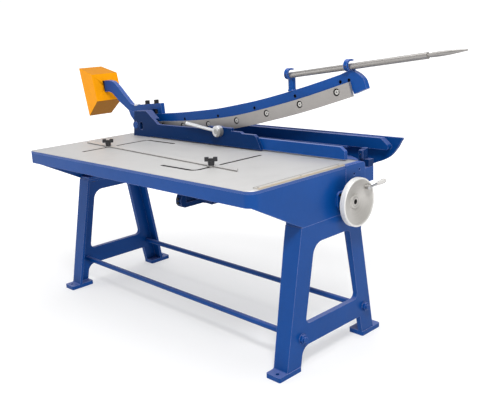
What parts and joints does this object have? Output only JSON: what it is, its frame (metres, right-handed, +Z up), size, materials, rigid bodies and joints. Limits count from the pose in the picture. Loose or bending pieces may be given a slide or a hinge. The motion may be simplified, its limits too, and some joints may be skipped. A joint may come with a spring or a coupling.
{
  "type": "bench lever shear",
  "caption": "Floor-standing lever shear with a pivoted curved blade, counterweight, hold-down bar, slotted table and a handwheel-driven rear gauge on two cast stands.",
  "frame": {"origin": "midway between the four floor anchor holes, at floor level", "axes": "+X along the cut towards the handwheel and handle end, +Y from the operator's side to the back, +Z up"},
  "size_m": [2.7101, 0.869, 1.3316],
  "materials": {
    "blue_paint": "semi-gloss machine enamel",
    "orange_paint": "semi-gloss enamel",
    "table_steel": "machined, lightly oiled",
    "knife_steel": "ground tool steel",
    "bright_steel": "turned bright steel",
    "dark_steel": "blackened fasteners",
    "wheel_paint": "light grey enamel",
    "knob_plastic": "dark moulded plastic",
    "bronze": "bearing bronze",
    "light_strip": "anodised strip"
  },
  "bodies": {
    "table": {"stand_left": "blue_paint", "stand_right": "blue_paint", "tie_rod_front": "blue_paint", "tie_rod_rear": "blue_paint", "tie_rod_nuts": "blue_paint", "table_body": "blue_paint", "table_plate": "table_steel", "side_rule": "light_strip", "side_rule_screws": "dark_steel", "table_bolts": "dark_steel", "lower_knife": "knife_steel", "lower_knife_screws": "dark_steel", "holddown_bracket": "blue_paint", "holddown_guide_pins": "bright_steel", "holddown_springs": "bright_steel", "pivot_pin": "blue_paint", "pivot_washers": "bright_steel", "pivot_nut": "dark_steel", "gauge_channel": "blue_paint", "shaft_support_screws": "dark_steel", "bearing_flange": "blue_paint", "blade_guide_block": "blue_paint", "blade_guide_screws": "dark_steel", "blade_guide_post": "dark_steel", "blade_guide_shoe": "dark_steel"},
    "blade": {"blade_beam": "blue_paint", "upper_knife": "knife_steel", "knife_bolts": "bright_steel", "beam_set_screws": "dark_steel", "pivot_bush": "bronze", "counterweight_arm": "blue_paint", "arm_cap_screws": "dark_steel", "arm_locating_stud": "bright_steel", "counterweight": "orange_paint", "counterweight_stud": "bright_steel", "handle_bar": "bright_steel", "handle_grip": "bright_steel", "hook_left": "blue_paint", "hook_right": "blue_paint", "hook_screws": "dark_steel"},
    "holddown": {"holddown_bar": "blue_paint"},
    "clamp": {"clamp_shaft": "bright_steel", "clamp_lever": "bright_steel"},
    "front_gauge": {"front_gauge_bar": "light_strip", "gauge_slide_nuts": "bright_steel"},
    "knob_left": {"gauge_knob_left": "knob_plastic"},
    "knob_right": {"gauge_knob_right": "knob_plastic"},
    "rear_gauge": {"rear_gauge_beam": "blue_paint", "rear_gauge_arm": "blue_paint", "gauge_bolts": "dark_steel", "gauge_rack": "bright_steel"},
    "wheel": {"handwheel": "wheel_paint", "cross_shaft": "bright_steel", "gauge_pinion": "bright_steel", "shaft_collar": "bright_steel", "wheel_key": "bright_steel", "crank_hinge_pin": "bright_steel"},
    "crank": {"crank_stem": "bright_steel"},
    "grip": {"crank_grip": "wheel_paint"}
  },
  "joints": [
    {"name": "blade_swing", "type": "hinge", "parent": "table", "child": "blade", "pos_m": [-0.741, 0.242, 0.913], "axis": [0, 1, 0], "range_deg": [0, 10.6]},
    {"name": "holddown_slide", "type": "slide", "parent": "table", "child": "holddown", "axis": [0, 0, -1], "range_m": [0, 0.0056], "stiffness_N_per_m": 20000, "springref_m": -0.014, "deforming": ["holddown_springs"]},
    {"name": "clamp_turn", "type": "hinge", "parent": "table", "child": "clamp", "pos_m": [0.008, 0.158, 0.932], "axis": [0, 1, 0], "range_deg": [0, 90]},
    {"name": "front_gauge_slide", "type": "slide", "parent": "table", "child": "front_gauge", "axis": [0, 1, 0], "range_m": [-0.05, 0.236]},
    {"name": "knob_left_turn", "type": "hinge", "parent": "front_gauge", "child": "knob_left", "pos_m": [-0.541, -0.1791, 0.86], "axis": [0, 0, 1], "range_deg": [0, 720]},
    {"name": "knob_right_turn", "type": "hinge", "parent": "front_gauge", "child": "knob_right", "pos_m": [0.371, -0.23455, 0.86], "axis": [0, 0, 1], "range_deg": [0, 720]},
    {"name": "rear_gauge_slide", "type": "slide", "parent": "table", "child": "rear_gauge", "axis": [0, 1, 0], "range_m": [0, 0.31]},
    {"name": "handwheel_turn", "type": "hinge", "parent": "table", "child": "wheel", "pos_m": [0.6, 0.119, 0.69], "axis": [-1, 0, 0], "range_deg": [0, 1115]},
    {"name": "crank_fold", "type": "hinge", "parent": "wheel", "child": "crank", "pos_m": [0.937, 0.175, 0.746], "axis": [0, 0.0804, -0.9968], "range_deg": [0, 90]},
    {"name": "crank_grip_spin", "type": "hinge", "parent": "crank", "child": "grip", "pos_m": [0.937, 0.175, 0.746], "axis": [0, 0.9968, 0.0804], "continuous": true}
  ],
  "couplings": [
    {"joint": "clamp_turn", "follows": "holddown_slide", "rad_per_m": 280},
    {"joint": "handwheel_turn", "follows": "rear_gauge_slide", "rad_per_m": 62.5}
  ]
}
